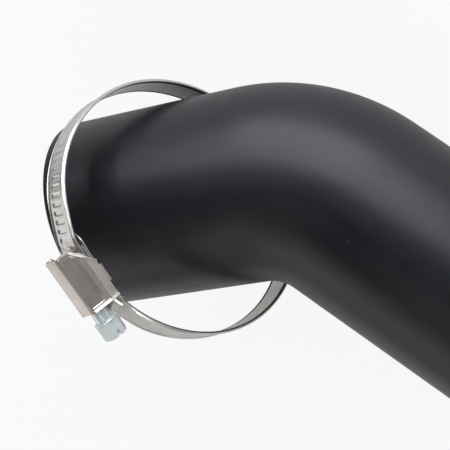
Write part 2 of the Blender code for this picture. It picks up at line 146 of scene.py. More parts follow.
def add_quad(bm, flat, corners, near, far, left, right):
    """Adds a face. Its flat place goes from near to far along, and from left to right around."""
    face = bm.faces.new(corners)
    places = ((near, left), (near, right), (far, right), (far, left))
    for corner, place in zip(face.loops, places):
        corner[flat].uv = place


def skin_of_rings(rings, along, around, closed):
    """Joins equal rings of points. The two lists give each ring's and each point's flat place."""
    bm = bmesh.new()
    flat = bm.loops.layers.uv.new("flat")
    rows = [[bm.verts.new(point) for point in ring] for ring in rings]
    count = len(rows[0])
    spans = len(rows) if closed else len(rows) - 1
    for i in range(spans):
        low = rows[i]
        high = rows[(i + 1) % len(rows)]
        for j in range(count):
            k = (j + 1) % count
            corners = (low[j], low[k], high[k], high[j])
            add_quad(bm, flat, corners, along[i], along[i + 1], around[j], around[j + 1])
    if not closed:
        for ring in (rows[0], rows[-1][::-1]):
            cap = bm.faces.new(ring)
            for corner in cap.loops:
                corner[flat].uv = (corner.vert.co.x, corner.vert.co.y)
    return bm


def carry(piece, body, slot, skin, *nodes):
    """Gives a piece its finish, its body, and the solids that it stands for."""
    piece.data.materials.clear()
    piece.data.materials.append(skin)
    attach(piece, body)
    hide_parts(*nodes)
    print(piece.name, len(piece.data.polygons), "faces, stands for", nodes)


print("mesh helpers ready")

# %% [markdown]
# Two effects are used by more than one finish, so each is a node group that is built once.
# Rolled grain is the fine lines that rolling and drawing leave along a steel strip: it is
# noise stretched along the strip. Edge wear is a mask that is white on sharp edges, found
# by comparing the true normal with a rounded one.

# %% Rolled grain group


def new_group(name, inputs, outputs):
    group = bpy.data.node_groups.new(name, "ShaderNodeTree")
    for label, kind, value in inputs:
        made = group.interface.new_socket(label, in_out="INPUT", socket_type=kind)
        if value is not None:
            made.default_value = value
    for label, kind in outputs:
        group.interface.new_socket(label, in_out="OUTPUT", socket_type=kind)
    return group


def add_node(tree, kind, x, y, **settings):
    made = tree.nodes.new(kind)
    made.location = (x, y)
    for key, value in settings.items():
        setattr(made, key, value)
    return made


def maths(tree, operation, x, y, a, b):
    """A Math node. Each of a and b is a number or another node's socket."""
    made = add_node(tree, "ShaderNodeMath", x, y, operation=operation)
    for index, value in enumerate((a, b)):
        if isinstance(value, (int, float)):
            made.inputs[index].default_value = value
        else:
            tree.links.new(value, made.inputs[index])
    return made.outputs[0]


def build_rolled_grain():
    group = new_group(
        "Rolled grain",
        [
            ("Flat place", "NodeSocketVector", None),
            ("Lines per metre", "NodeSocketFloat", 9000.0),
            ("Line length", "NodeSocketFloat", 0.012),
        ],
        [("Lines", "NodeSocketFloat"), ("Patches", "NodeSocketFloat")],
    )
    start = add_node(group, "NodeGroupInput", -900, 0)
    end = add_node(group, "NodeGroupOutput", 500, 0)
    parts = add_node(group, "ShaderNodeSeparateXYZ", -700, 100)
    group.links.new(start.outputs["Flat place"], parts.inputs[0])
    stretched = maths(group, "DIVIDE", -500, 160, parts.outputs["X"], start.outputs["Line length"])
    across = maths(group, "MULTIPLY", -500, 0, parts.outputs["Y"], start.outputs["Lines per metre"])
    place = add_node(group, "ShaderNodeCombineXYZ", -300, 80)
    group.links.new(stretched, place.inputs["X"])
    group.links.new(across, place.inputs["Y"])
    lines = add_node(group, "ShaderNodeTexNoise", -100, 120)
    lines.inputs["Scale"].default_value = 1.0
    lines.inputs["Detail"].default_value = 4.0
    group.links.new(place.outputs[0], lines.inputs["Vector"])
    patches = add_node(group, "ShaderNodeTexNoise", -100, -160)
    patches.inputs["Scale"].default_value = 160.0
    patches.inputs["Detail"].default_value = 3.0
    group.links.new(start.outputs["Flat place"], patches.inputs["Vector"])
    group.links.new(lines.outputs["Fac"], end.inputs["Lines"])
    group.links.new(patches.outputs["Fac"], end.inputs["Patches"])
    return group


rolled_grain = build_rolled_grain()
print("built", rolled_grain.name)

# %% Edge wear group


def ramp(tree, x, y, source, low, high, from_low=0.0, from_high=1.0):
    """Maps a socket's values from one range to another, held at the ends."""
    made = add_node(tree, "ShaderNodeMapRange", x, y)
    made.inputs["From Min"].default_value = from_low
    made.inputs["From Max"].default_value = from_high
    made.inputs["To Min"].default_value = low
    made.inputs["To Max"].default_value = high
    tree.links.new(source, made.inputs["Value"])
    return made.outputs["Result"]


def build_edge_wear():
    group = new_group(
        "Edge wear",
        [("Radius", "NodeSocketFloat", 0.0003), ("Reach", "NodeSocketFloat", 0.12)],
        [("Edge", "NodeSocketFloat")],
    )
    start = add_node(group, "NodeGroupInput", -700, 0)
    end = add_node(group, "NodeGroupOutput", 500, 0)
    rounded = add_node(group, "ShaderNodeBevel", -500, 80, samples=6)
    group.links.new(start.outputs["Radius"], rounded.inputs["Radius"])
    true_face = add_node(group, "ShaderNodeNewGeometry", -500, -120)
    compare = add_node(group, "ShaderNodeVectorMath", -300, 0, operation="DOT_PRODUCT")
    group.links.new(rounded.outputs[0], compare.inputs[0])
    group.links.new(true_face.outputs["Normal"], compare.inputs[1])
    away = maths(group, "SUBTRACT", -100, 0, 1.0, compare.outputs["Value"])
    share = maths(group, "DIVIDE", 80, 0, away, start.outputs["Reach"])
    spots = add_node(group, "ShaderNodeTexNoise", -300, -300)
    spots.inputs["Scale"].default_value = 900.0
    broken = ramp(group, -100, -300, spots.outputs["Fac"], 0.35, 1.0, 0.35, 0.65)
    edge = maths(group, "MULTIPLY", 260, 0, share, broken)
    held = maths(group, "MINIMUM", 380, 0, edge, 1.0)
    group.links.new(held, end.inputs["Edge"])
    return group


edge_wear = build_edge_wear()
print("built", edge_wear.name)

# %% [markdown]
# Black rubber is dark but never quite black: a soft sheen lies over it, the moulding leaves
# slow changes of gloss, and the skin has a fine grain. The colour stays nearly the same and
# the roughness does most of the work. The Bump node feeds only the Normal socket.

# %% Black rubber
RUBBER_DARK = (0.0075, 0.0068, 0.0098)
RUBBER_LIGHT = (0.0115, 0.0110, 0.0140)
RUBBER_DUST = (0.06, 0.06, 0.062)
RUBBER_GRAIN_DEPTH = 0.00002


def new_finish(name):
    made = bpy.data.materials.new(name)
    made.use_nodes = True
    return made, made.node_tree, made.node_tree.nodes["Principled BSDF"]


def blend_colours(tree, x, y, share, first, second):
    """A colour between two. Each of first and second is a colour or another node's socket."""
    made = add_node(tree, "ShaderNodeMix", x, y, data_type="RGBA")
    tree.links.new(share, made.inputs["Factor"])
    for index, value in ((6, first), (7, second)):
        if isinstance(value, tuple):
            made.inputs[index].default_value = (*value, 1.0)
        else:
            tree.links.new(value, made.inputs[index])
    return made.outputs[2]


def bump(tree, shader, x, y, height, distance):
    made = add_node(tree, "ShaderNodeBump", x, y)
    made.inputs["Distance"].default_value = distance
    tree.links.new(height, made.inputs["Height"])
    tree.links.new(made.outputs["Normal"], shader.inputs["Normal"])


def rubber_noise(tree, x, y, scale, detail, stretch=None):
    """Noise in the object's own place, or along the hose where a stretch is given."""
    if stretch is None:
        place = add_node(tree, "ShaderNodeTexCoord", x - 400, y).outputs["Object"]
    else:
        flat = add_node(tree, "ShaderNodeUVMap", x - 400, y, uv_map="flat")
        squeezed = add_node(tree, "ShaderNodeVectorMath", x - 200, y, operation="MULTIPLY")
        squeezed.inputs[1].default_value = stretch
        tree.links.new(flat.outputs[0], squeezed.inputs[0])
        place = squeezed.outputs[0]
    made = add_node(tree, "ShaderNodeTexNoise", x, y)
    made.inputs["Scale"].default_value = scale
    made.inputs["Detail"].default_value = detail
    tree.links.new(place, made.inputs["Vector"])
    return made.outputs["Fac"]


def build_rubber():
    made, tree, shader = new_finish("black_rubber_skin")
    slow = rubber_noise(tree, -900, 400, 28.0, 3.0)
    drawn = rubber_noise(tree, -900, 100, 1.0, 4.0, (9.0, 150.0, 1.0))
    skin = rubber_noise(tree, -900, -200, 1500.0, 5.0)
    dust = rubber_noise(tree, -900, -500, 420.0, 8.0)
    tone = ramp(tree, -600, 400, slow, 0.0, 1.0, 0.3, 0.7)
    black = blend_colours(tree, -400, 400, tone, RUBBER_DARK, RUBBER_LIGHT)
    specks = ramp(tree, -600, -500, dust, 0.0, 0.35, 0.66, 0.82)
    dusty = blend_colours(tree, -200, 400, specks, black, RUBBER_DUST)
    tree.links.new(dusty, shader.inputs["Base Color"])
    gloss = ramp(tree, -600, 200, slow, 0.34, 0.42, 0.3, 0.7)
    streaks = ramp(tree, -600, 0, drawn, -0.03, 0.04, 0.3, 0.7)
    rough = maths(tree, "ADD", -300, 100, gloss, streaks)
    tree.links.new(rough, shader.inputs["Roughness"])
    shader.inputs["IOR"].default_value = 1.5
    grain = maths(tree, "ADD", -500, -250, skin, drawn)
    bump(tree, shader, -250, -250, grain, RUBBER_GRAIN_DEPTH)
    return made


black_rubber = build_rubber()
print("built", black_rubber.name)

# %% [markdown]
# The strip is bright rolled steel. It reflects its surroundings softly, with lines along
# its length, slightly warmer and duller patches, and brighter worn edges. The saddle, the
# cover and the plated screw are built by the same function with other colours and grain.
# The zinc on the screw is paler and chalky, so it is only partly metallic.

# %% Steel finishes


def build_steel(name, bright, dull, rough_low, rough_high, lines, edge_colour, grain_depth, metallic=1.0):
    made, tree, shader = new_finish(name)
    shader.inputs["Metallic"].default_value = metallic
    flat = add_node(tree, "ShaderNodeUVMap", -1100, 100, uv_map="flat")
    grain = add_node(tree, "ShaderNodeGroup", -900, 100, node_tree=rolled_grain)
    grain.inputs["Lines per metre"].default_value = lines
    tree.links.new(flat.outputs[0], grain.inputs["Flat place"])
    worn = add_node(tree, "ShaderNodeGroup", -900, -250, node_tree=edge_wear)
    patch = ramp(tree, -650, 300, grain.outputs["Patches"], 0.0, 1.0, 0.35, 0.65)
    body = blend_colours(tree, -450, 300, patch, bright, dull)
    edged = blend_colours(tree, -250, 300, worn.outputs["Edge"], body, edge_colour)
    tree.links.new(edged, shader.inputs["Base Color"])
    spread = ramp(tree, -650, 50, grain.outputs["Lines"], rough_low, rough_high, 0.3, 0.7)
    polish = maths(tree, "MULTIPLY", -450, -100, worn.outputs["Edge"], -0.08)
    rough = maths(tree, "ADD", -250, 0, spread, polish)
    tree.links.new(rough, shader.inputs["Roughness"])
    bump(tree, shader, -250, -250, grain.outputs["Lines"], grain_depth)
    return made


PALE_EDGE = (0.9, 0.89, 0.87)
ZINC_EDGE = (0.92, 0.94, 0.94)
strip_steel = build_steel(
    "rolled_strip_steel",
    bright=(0.73, 0.705, 0.67),
    dull=(0.63, 0.60, 0.56),
    rough_low=0.24,
    rough_high=0.34,
    lines=9000.0,
    edge_colour=PALE_EDGE,
    grain_depth=0.00001,
)
saddle_steel = build_steel(
    "pressed_saddle_steel",
    bright=(0.70, 0.675, 0.64),
    dull=(0.60, 0.57, 0.53),
    rough_low=0.26,
    rough_high=0.38,
    lines=7000.0,
    edge_colour=PALE_EDGE,
    grain_depth=0.00001,
)
cover_steel = build_steel(
    "folded_cover_steel",
    bright=(0.66, 0.60, 0.55),
    dull=(0.59, 0.53, 0.48),
    rough_low=0.34,
    rough_high=0.40,
    lines=3000.0,
    edge_colour=PALE_EDGE,
    grain_depth=0.0000015,
)
zinc_steel = build_steel(
    "zinc_plated_steel_skin",
    bright=(0.86, 0.92, 0.90),
    dull=(0.78, 0.86, 0.84),
    rough_low=0.30,
    rough_high=0.36,
    lines=3000.0,
    edge_colour=ZINC_EDGE,
    grain_depth=0.000001,
    metallic=0.5,
)
print("built four steels")

# %% [markdown]
# The hose is a tube of rings along its centre line: straight, round a gentle bend, and
# straight again. Rings run down the outside, round the lip, and back up the bore, so the
# skin closes on itself and the wall is really there.

# %% Hose
HOSE_SIDES = 144
LIP_STEPS = 6
INLET_STEPS = 24
BEND_STEPS = 36
OUTLET_STEPS = 40
SLANT_FADE = INLET_LEG / 2


def hose_stations():
    """Centre, direction, bore and length along, for each cross-section."""
    bend = math.radians(BEND_DEG)
    stations = []
    for step in range(INLET_STEPS):
        x = INLET_LEG * step / INLET_STEPS
        stations.append((Vector((x, 0, 0)), Vector((1, 0, 0)), INLET_BORE, x))
    for step in range(BEND_STEPS + 1):
        turn = bend * step / BEND_STEPS
        centre = Vector((INLET_LEG + BEND_RADIUS * math.sin(turn), BEND_RADIUS * (math.cos(turn) - 1), 0))
        way = Vector((math.cos(turn), -math.sin(turn), 0))
        stations.append((centre, way, INLET_BORE, INLET_LEG + BEND_RADIUS * turn))
    last, way, _, run = stations[-1]
    for step in range(1, OUTLET_STEPS + 1):
        share = step / OUTLET_STEPS
        bore = INLET_BORE + (OUTLET_BORE - INLET_BORE) * share
        stations.append((last + way * OUTLET_LEG * share, way, bore, run + OUTLET_LEG * share))
    return stations


def hose_ring(centre, way, radius):
    side = Vector((0, 0, 1)).cross(way)
    ring = []
    for i in range(HOSE_SIDES):
        angle = 2 * math.pi * i / HOSE_SIDES - math.pi / 2
        around = side * math.cos(angle) + Vector((0, 0, math.sin(angle)))
        ring.append(centre + around * radius)
    return ring


def slanted(ring, share):
    """Slides an inlet ring along the leg towards the slanted cut, fully where share is 1."""
    return [Vector((p.x - share * (SKEW_SIDE * p.y + SKEW_TOP * p.z), p.y, p.z)) for p in ring]


def make_hose():
    stations = hose_stations()
    arc = []
    for step in range(LIP_STEPS + 1):
        turn = math.pi / 2 * step / LIP_STEPS
        arc.append((LIP_ROUND * (1 - math.sin(turn)), LIP_ROUND * (1 - math.cos(turn))))
    rings = []
    along = []
    for outside in (True, False):
        radii = []
        for _, _, bore, _ in stations:
            radii.append(bore / 2 + HOSE_WALL - HOSE_TRIM if outside else bore / 2)
        inward = 1 if outside else -1
        first, way, _, _ = stations[0]
        inlet = []
        for step, drop in arc:
            inlet.append((slanted(hose_ring(first + way * step, way, radii[0] - inward * drop), 1.0), step))
        middle = []
        for index in range(1, len(stations) - 1):
            centre, way, _, run = stations[index]
            # The slant fades out over the first half of the inlet leg.
            share = max(0.0, 1.0 - run / SLANT_FADE)
            middle.append((slanted(hose_ring(centre, way, radii[index]), share), run))
        last, way, _, run = stations[-1]
        outlet = []
        for step, drop in arc:
            ring = hose_ring(last - way * step, way, radii[-1] - inward * drop)
            outlet.append((ring, run - step))
        ordered = inlet[::-1] + middle + outlet if outside else outlet[::-1] + middle[::-1] + inlet
        rings += [ring for ring, _ in ordered]
        along += [place for _, place in ordered]
    girth = 2 * math.pi * (INLET_BORE / 2 + HOSE_WALL)
    around = [girth * i / HOSE_SIDES for i in range(HOSE_SIDES + 1)]
    skin = skin_of_rings(rings, along + along[:1], around, closed=True)
    return finish_mesh("moulded_hose", skin, HOSE, sharp_deg=60)


hose = make_hose()
carry(hose, "hose_and_clamp", "black_rubber", black_rubber, "air_pipe")

# %% [markdown]
# The clamp's loop is a slightly opened ellipse that runs straight under the housing. A
# point on the strip is found by its length along the loop, its place across the strip, and
# its height off the outer face. Everything on the clamp is built in those three numbers.

# %% The loop's own line
LOOP_STEPS = 1440
middle_angle = math.radians(HOUSING_ANGLE_DEG)
loop_angles = middle_angle + np.linspace(-math.pi, math.pi, LOOP_STEPS + 1)
loop_x = LOOP_LONG / 2 * np.cos(loop_angles)
loop_y = LOOP_SHORT / 2 * np.sin(loop_angles)
loop_lengths = np.concatenate([[0.0], np.cumsum(np.hypot(np.diff(loop_x), np.diff(loop_y)))])
loop_lengths -= loop_lengths[LOOP_STEPS // 2]
LOOP_LENGTH = float(loop_lengths[-1] - loop_lengths[0])
housing_along = Vector((-LOOP_LONG * math.sin(middle_angle), LOOP_SHORT * math.cos(middle_angle), 0))
housing_along = turned(HOUSING_TILT_DEG, "Z").to_3x3() @ housing_along.normalized()
housing_out = Vector((housing_along.y, -housing_along.x, 0))


def ellipse_point(angle):
    return Vector((LOOP_LONG / 2 * math.cos(angle), LOOP_SHORT / 2 * math.sin(angle), 0))


housing_middle = ellipse_point(middle_angle) - housing_out * HOUSING_SINK


def smooth_step(value):
    value = min(max(value, 0.0), 1.0)
    return value * value * (3.0 - 2.0 * value)


def loop_point(length):
    length = (length + LOOP_LENGTH / 2) % LOOP_LENGTH - LOOP_LENGTH / 2
    angle = float(np.interp(length, loop_lengths, loop_angles))
    on_flat = housing_middle + housing_along * length
    away = smooth_step((abs(length) - STRAIGHT_HALF) / BLEND_LENGTH)
    return on_flat.lerp(ellipse_point(angle), away)


def loop_out(length):
    step = 0.0002
    way = (loop_point(length + step) - loop_point(length - step)).normalized()
    return Vector((way.y, -way.x, 0))


def strip_point(length, across, height):
    return loop_point(length) + loop_out(length) * height + Vector((0, 0, across))


print("loop length", round(LOOP_LENGTH, 4))

# %% [markdown]
# The strip overlaps itself under the housing: the plain end starts there, and the free end
# with the pressed thread comes round on top of it. The thread is a row of slanted slots
# pressed into the outer face. The long edges of such a strip are rolled slightly upwards.

# %% Clamp strip
BAND_START = -HOUSING_LENGTH / 2 + MOUTH_SET_BACK
BAND_END = LOOP_LENGTH + HOUSING_LENGTH / 2 + TAIL_LENGTH
FREE_START = LOOP_LENGTH - HOUSING_LENGTH / 2 + MOUTH_SET_BACK
THREAD_START = BAND_END - THREAD_END_MARGIN - THREAD_SLOTS * THREAD_PITCH
THREAD_SLANT = THREAD_PITCH / (math.pi * (WORM_CREST + WORM_ROOT) / 2)
THREAD_HALF_SHARE = 0.36
THREAD_SIDE_SHARE = 0.24
THREAD_END_SLOPE = 0.0009
ACROSS_STEPS = 26
PLAIN_STEP = 0.0012
THREAD_STEP = 0.00016
CORNER_ROUND = 0.00018


def layer_height(length):
    share = smooth_step((length - FREE_START + FREE_RISE) / FREE_RISE)
    return (BAND_THICK + LAYER_GAP) * share - BAND_TRIM * (1.0 - share)


def slot_depth(length, across):
    """How deep the pressed thread is at a point of the outer face."""
    place = (length - THREAD_SLANT * across - THREAD_START) / THREAD_PITCH
    if place < 0 or place > THREAD_SLOTS:
        return 0.0
    lengthways = smooth_step((THREAD_HALF_SHARE - abs(place % 1.0 - 0.5)) / THREAD_SIDE_SHARE)
    sideways = smooth_step((THREAD_WIDTH / 2 - abs(across)) / THREAD_END_SLOPE)
    return THREAD_DEPTH * lengthways * sideways


def edge_rise(length, across):
    """How far the rolled edge stands up at a point of the outer face."""
    raised = smooth_step((length - HOUSING_LENGTH / 2 - EDGE_RISE_START) / EDGE_RISE_LENGTH)
    inset = BAND_WIDTH / 2 - abs(across)
    return EDGE_RISE * raised * smooth_step(1.0 - abs(inset - EDGE_WIDTH / 2) / (EDGE_WIDTH / 2))


def strip_section(length):
    """The section of the strip at a length, as places across it and heights off its outer face."""
    corner = BAND_WIDTH / 2 - CORNER_ROUND
    base = layer_height(length)
    outline = []
    for step in range(ACROSS_STEPS + 1):
        across = corner * (2 * step / ACROSS_STEPS - 1)
        outline.append((across, edge_rise(length, across) - slot_depth(length, across)))
    for sign in (1, -1):
        turns = (30, 60, 90, 120, 150) if sign > 0 else (150, 120, 90, 60, 30)
        for turn in turns:
            out = math.sin(math.radians(turn)) * CORNER_ROUND
            up = math.cos(math.radians(turn)) * CORNER_ROUND
            level = -CORNER_ROUND if turn < 90 else -BAND_THICK + CORNER_ROUND
            if turn == 90:
                level = -BAND_THICK / 2
            outline.append((sign * (corner + out), level + up))
        if sign > 0:
            for step in range(ACROSS_STEPS + 1):
                across = corner * (1 - 2 * step / ACROSS_STEPS)
                outline.append((across, edge_rise(length, across) - BAND_THICK))
    return [(across, base + height) for across, height in outline]


def strip_lengths():
    plain = THREAD_START - BAND_START
    steps = round(plain / PLAIN_STEP)
    lengths = [BAND_START + plain * i / steps for i in range(steps)]
    threaded = BAND_END - THREAD_START
    steps = round(threaded / THREAD_STEP)
    return lengths + [THREAD_START + threaded * i / steps for i in range(steps + 1)]


def ring_lengths(points):
    """Length round a ring of points, up to each point and back to the first one."""
    lengths = [0.0]
    for a, b in zip(points, points[1:] + points[:1]):
        lengths.append(lengths[-1] + (Vector(b) - Vector(a)).length)
    return lengths


def make_strip():
    lengths = strip_lengths()
    sections = [strip_section(length) for length in lengths]
    rings = []
    for length, section in zip(lengths, sections):
        rings.append([strip_point(length, across, height) for across, height in section])
    around = ring_lengths([(across, height, 0.0) for across, height in sections[0]])
    skin = skin_of_rings(rings, lengths, around, closed=False)
    return finish_mesh("clamp_strip", skin, CLAMP, sharp_deg=50)


strip = make_strip()
carry(strip, "hose_and_clamp", "bright_strip_steel", strip_steel, "clamp_band")

# %% [markdown]
# The saddle is a thin plate under the strip. The housing is folded round it, and its rounded
# tongue reaches out behind the housing and drops away from the strip.

# %% Saddle plate
SADDLE_THICK = 0.0006
SADDLE_WIDTH = 0.0099
SADDLE_TONGUE = 0.0042
TONGUE_DROP = 0.0006
SADDLE_HEAD_END = 0.0034
SADDLE_CORNER = 0.0008
SADDLE_TOP = -BAND_THICK - LAYER_GAP
SADDLE_EDGE = 0.0002
SADDLE_STEPS = 40
SADDLE_CORNER_STEPS = 5
TIP_STEPS = 12
TIP_START_DEG = 6


def saddle_rows():
    """Length along, and half width there."""
    half = SADDLE_WIDTH / 2
    tip = -HOUSING_LENGTH / 2 - SADDLE_TONGUE
    head = HOUSING_LENGTH / 2 + SADDLE_HEAD_END
    rows = []
    for step in range(TIP_STEPS + 1):
        turn = math.radians(TIP_START_DEG + (90 - TIP_START_DEG) * step / TIP_STEPS)
        rows.append((tip + half * (1 - math.cos(turn)), half * math.sin(turn)))
    start = tip + half
    stop = head - SADDLE_CORNER
    for step in range(1, SADDLE_STEPS + 1):
        rows.append((start + (stop - start) * step / SADDLE_STEPS, half))
    for step in range(1, SADDLE_CORNER_STEPS + 1):
        turn = math.radians(90 * step / SADDLE_CORNER_STEPS)
        across = half - SADDLE_CORNER * (1 - math.cos(turn))
        rows.append((stop + SADDLE_CORNER * math.sin(turn), across))
    return rows


def saddle_section(half):
    """The section of the plate where it has this half width, with its four edges rounded."""
    outline = []
    middle = SADDLE_TOP - SADDLE_THICK / 2
    for side, up, start_deg in ((-1, 1, 180), (1, 1, 90), (1, -1, 0), (-1, -1, -90)):
        across = side * (half - SADDLE_EDGE)
        height = middle + up * (SADDLE_THICK / 2 - SADDLE_EDGE)
        for step in range(4):
            turn = math.radians(start_deg - 30 * step)
            outline.append((across + SADDLE_EDGE * math.cos(turn), height + SADDLE_EDGE * math.sin(turn)))
    return outline


def make_saddle():
    rings = []
    lengths = []
    for length, half in saddle_rows():
        share = (-HOUSING_LENGTH / 4 - length) / (HOUSING_LENGTH / 4 + SADDLE_TONGUE)
        drop = TONGUE_DROP * smooth_step(share)
        section = saddle_section(half)
        rings.append([strip_point(length, across, height - drop) for across, height in section])
        lengths.append(length)
    around = ring_lengths([(across, height, 0.0) for across, height in saddle_section(SADDLE_WIDTH / 2)])
    skin = skin_of_rings(rings, lengths, around, closed=False)
    return finish_mesh("saddle_plate", skin, CLAMP, sharp_deg=40)


saddle = make_saddle()
carry(saddle, "hose_and_clamp", "saddle_steel", saddle_steel, "clamp_saddle")

# %% [markdown]
# The housing is one folded sheet: a flat roof, two slanting walls, a crease where the wall
# turns to the skirt, and hooks that fold under the saddle. It is drawn as a grid of points
# without thickness. A Solidify modifier gives it the sheet's thickness and a Bevel modifier
# rounds the cut edges, which is how such a pressing looks. Its ends flare slightly, its
# walls carry a shallow pressed panel, and its back corners are cut on a slant.

# %% Sizes of the housing
SKIRT_FOOT = 0.0007
CREASE_HEIGHT = 0.0024
CREASE_DEPTH = 0.0003
CREASE_RADIUS = 0.0003
CREASE_ABOVE = 0.0012
FOLD_RADIUS = 0.0007
ROOF_FOLD = 0.0006
FAR_ROOF_FOLD = 0.0016
PANEL_EDGE = 0.0003
PANEL_DEPTH = 0.00015
END_FLARE = 0.0005
END_FLARE_LENGTH = 0.0012
CORNER_CUT_HEIGHT = 0.0054
CORNER_CUT_LENGTH = 0.0070
HOOK_BACK_INSET = 0.0006
HOOK_FRONT_INSET = 0.0049
HOOK_REACH = 0.0026
HOOK_GAP = 0.0001
CUT_EDGE_ROUND = 0.00012
SEAM_REACH = 0.00001
FLARE_STEPS = 5
HOOK_ROW = FLARE_STEPS + 2
HOOK, SKIRT, WALL, ROOF, PANEL = range(5)
print("housing", HOUSING_LENGTH, "by", HOUSING_BASE_WIDTH, "by", HOUSING_HEIGHT)

# %% [markdown]
# Half of the section is drawn, from the hook up to the middle of the roof, and the other
# half mirrors it. Each point has a level that says what it is part of. So only the sides
# flare at the ends, only the panel is pressed in, and the hooks are short.

# %% Section of the housing


def fold_arc(corner, before, after, radius, steps):
    """Rounds a corner of an outline, between the points before and after it."""
    corner, before, after = Vector(corner), Vector(before), Vector(after)
    first = corner + (before - corner).normalized() * radius
    last = corner + (after - corner).normalized() * radius
    points = []
    for step in range(steps + 1):
        share = step / steps
        points.append(first.lerp(corner, share).lerp(corner.lerp(last, share), share))
    return points


def at_level(points, level):
    return [(tuple(point), level) for point in points]


def housing_outline(roof_fold):
    """Half of the section, from the hook to the middle of the roof, as points with a level."""
    base = HOUSING_BASE_WIDTH / 2
    hook = SADDLE_TOP - SADDLE_THICK - HOOK_GAP - HOUSING_SHEET
    hook_tip = (base - HOOK_REACH, hook)
    crease = (base - CREASE_DEPTH, CREASE_HEIGHT)
    wall = Vector((crease[0] - CREASE_DEPTH, CREASE_HEIGHT + CREASE_ABOVE))
    roof_corner = Vector((HOUSING_TOP_WIDTH / 2, HOUSING_HEIGHT))
    roof_middle = (0.0, HOUSING_HEIGHT)
    cut_share = (CORNER_CUT_HEIGHT - wall.y) / (HOUSING_HEIGHT - wall.y)
    panel_edge = PANEL_EDGE / (roof_corner - wall).length
    panel_high = 1.0 - (roof_fold + 2 * PANEL_EDGE) / (roof_corner - wall).length
    panel = [wall.lerp(roof_corner, share) for share in (2 * panel_edge, cut_share, panel_high)]
    points = at_level([hook_tip], HOOK)
    points += at_level(fold_arc((base, hook), hook_tip, (base, 0.0), FOLD_RADIUS, 5), HOOK)
    points += at_level([(base, -SKIRT_FOOT)], SKIRT)
    points += at_level(fold_arc((base, CREASE_HEIGHT), (base, 0.0), crease, CREASE_RADIUS, 3), WALL)
    points += at_level(fold_arc(crease, (base, CREASE_HEIGHT), wall, CREASE_RADIUS, 3), WALL)
    points += at_level([wall], WALL)
    points += at_level(panel, PANEL)
    points += at_level([wall.lerp(roof_corner, panel_high + panel_edge)], WALL)
    points += at_level(fold_arc(roof_corner, wall, roof_middle, roof_fold, 6), ROOF)
    points += at_level([roof_middle], ROOF)
    return points


def housing_rows():
    """Places along the housing, with how far the sheet flares outwards at each."""
    end = HOUSING_LENGTH / 2
    panel_end = end - END_FLARE_LENGTH - PANEL_EDGE
    hook_back = -end + END_FLARE_LENGTH + CORNER_CUT_LENGTH + HOOK_BACK_INSET
    rows = []
    for step in range(FLARE_STEPS + 1):
        share = step / FLARE_STEPS
        rows.append((-end + END_FLARE_LENGTH * share, END_FLARE * (1 - share) ** 2))
    for along in (-panel_end, hook_back, end - HOOK_FRONT_INSET, panel_end):
        rows.append((along, 0.0))
    for step in range(FLARE_STEPS + 1):
        share = step / FLARE_STEPS
        rows.append((end - END_FLARE_LENGTH * (1 - share), END_FLARE * share ** 2))
    return rows


def housing_point(across, height, level, row, rows):
    """Where a point of the section lies in a row: along the housing, across it and above it."""
    along, flare = rows[row]
    wide = across
    if level in (SKIRT, WALL, PANEL):
        wide += math.copysign(flare, across)
    if level == PANEL and FLARE_STEPS < row < len(rows) - FLARE_STEPS - 1:
        wide -= math.copysign(PANEL_DEPTH, across)
    if row < HOOK_ROW:
        # The skirt starts further in than the roof, behind a slanted corner.
        below = (CORNER_CUT_HEIGHT - height) / (CORNER_CUT_HEIGHT + SKIRT_FOOT)
        along += CORNER_CUT_LENGTH * max(0.0, below)
    return along, wide, height


print("half section of", len(housing_outline(ROOF_FOLD)), "points, in", len(housing_rows()), "rows")

# %% Folding the housing


def standing_at(x_way, y_way, z_way, origin):
    """A matrix whose three axes point the given ways from an origin."""
    axes = Matrix((x_way, y_way, z_way)).transposed()
    return Matrix.Translation(origin) @ axes.to_4x4()


def round_edges(piece, width, sharper_than_deg):
    edge = piece.modifiers.new("rounded edges", "BEVEL")
    edge.width = width
    edge.segments = 2
    edge.limit_method = "ANGLE"
    edge.angle_limit = math.radians(sharper_than_deg)
    edge.harden_normals = True


def make_housing():
    far_half = [((-a, h), level) for (a, h), level in housing_outline(FAR_ROOF_FOLD)]
    outline = housing_outline(ROOF_FOLD) + far_half[-2::-1]
    rows = housing_rows()
    bm = bmesh.new()
    flat = bm.loops.layers.uv.new("flat")
    grid = {}
    for i, ((across, height), level) in enumerate(outline):
        for j in range(len(rows)):
            grid[i, j] = bm.verts.new(housing_point(across, height, level, j, rows))
    around = ring_lengths([(across, height, 0.0) for (across, height), _ in outline])
    for i in range(len(outline) - 1):
        on_hook = HOOK in (outline[i][1], outline[i + 1][1])
        for j in range(len(rows) - 1):
            if on_hook and j != HOOK_ROW:
                continue
            corners = (grid[i, j], grid[i + 1, j], grid[i + 1, j + 1], grid[i, j + 1])
            add_quad(bm, flat, corners, rows[j][0], rows[j + 1][0], around[i], around[i + 1])
    for vert in [vert for vert in bm.verts if not vert.link_faces]:
        bm.verts.remove(vert)
    bmesh.ops.remove_doubles(bm, verts=bm.verts[:], dist=SEAM_REACH)
    across_way = Vector((0, 0, 1))
    place = CLAMP @ standing_at(housing_along, across_way, housing_out, housing_middle)
    cover = finish_mesh("folded_housing", bm, place, sharp_deg=16)
    sheet = cover.modifiers.new("sheet", "SOLIDIFY")
    sheet.thickness = HOUSING_SHEET
    sheet.offset = -1.0
    sheet.use_even_offset = True
    sheet.use_quality_normals = True
    round_edges(cover, CUT_EDGE_ROUND, 50)
    return cover


cover = make_housing()
carry(cover, "hose_and_clamp", "cover_steel", cover_steel, "clamp_housing")

# %% [markdown]
# The screw is turned on one axis, so it is a stack of rings. Three sections aren't round:
# the worm, whose radius follows a spiral, the hexagon head, and the slot that is cut across
# its end with a Boolean. The slot's cutter is thrown away once it has done its work.

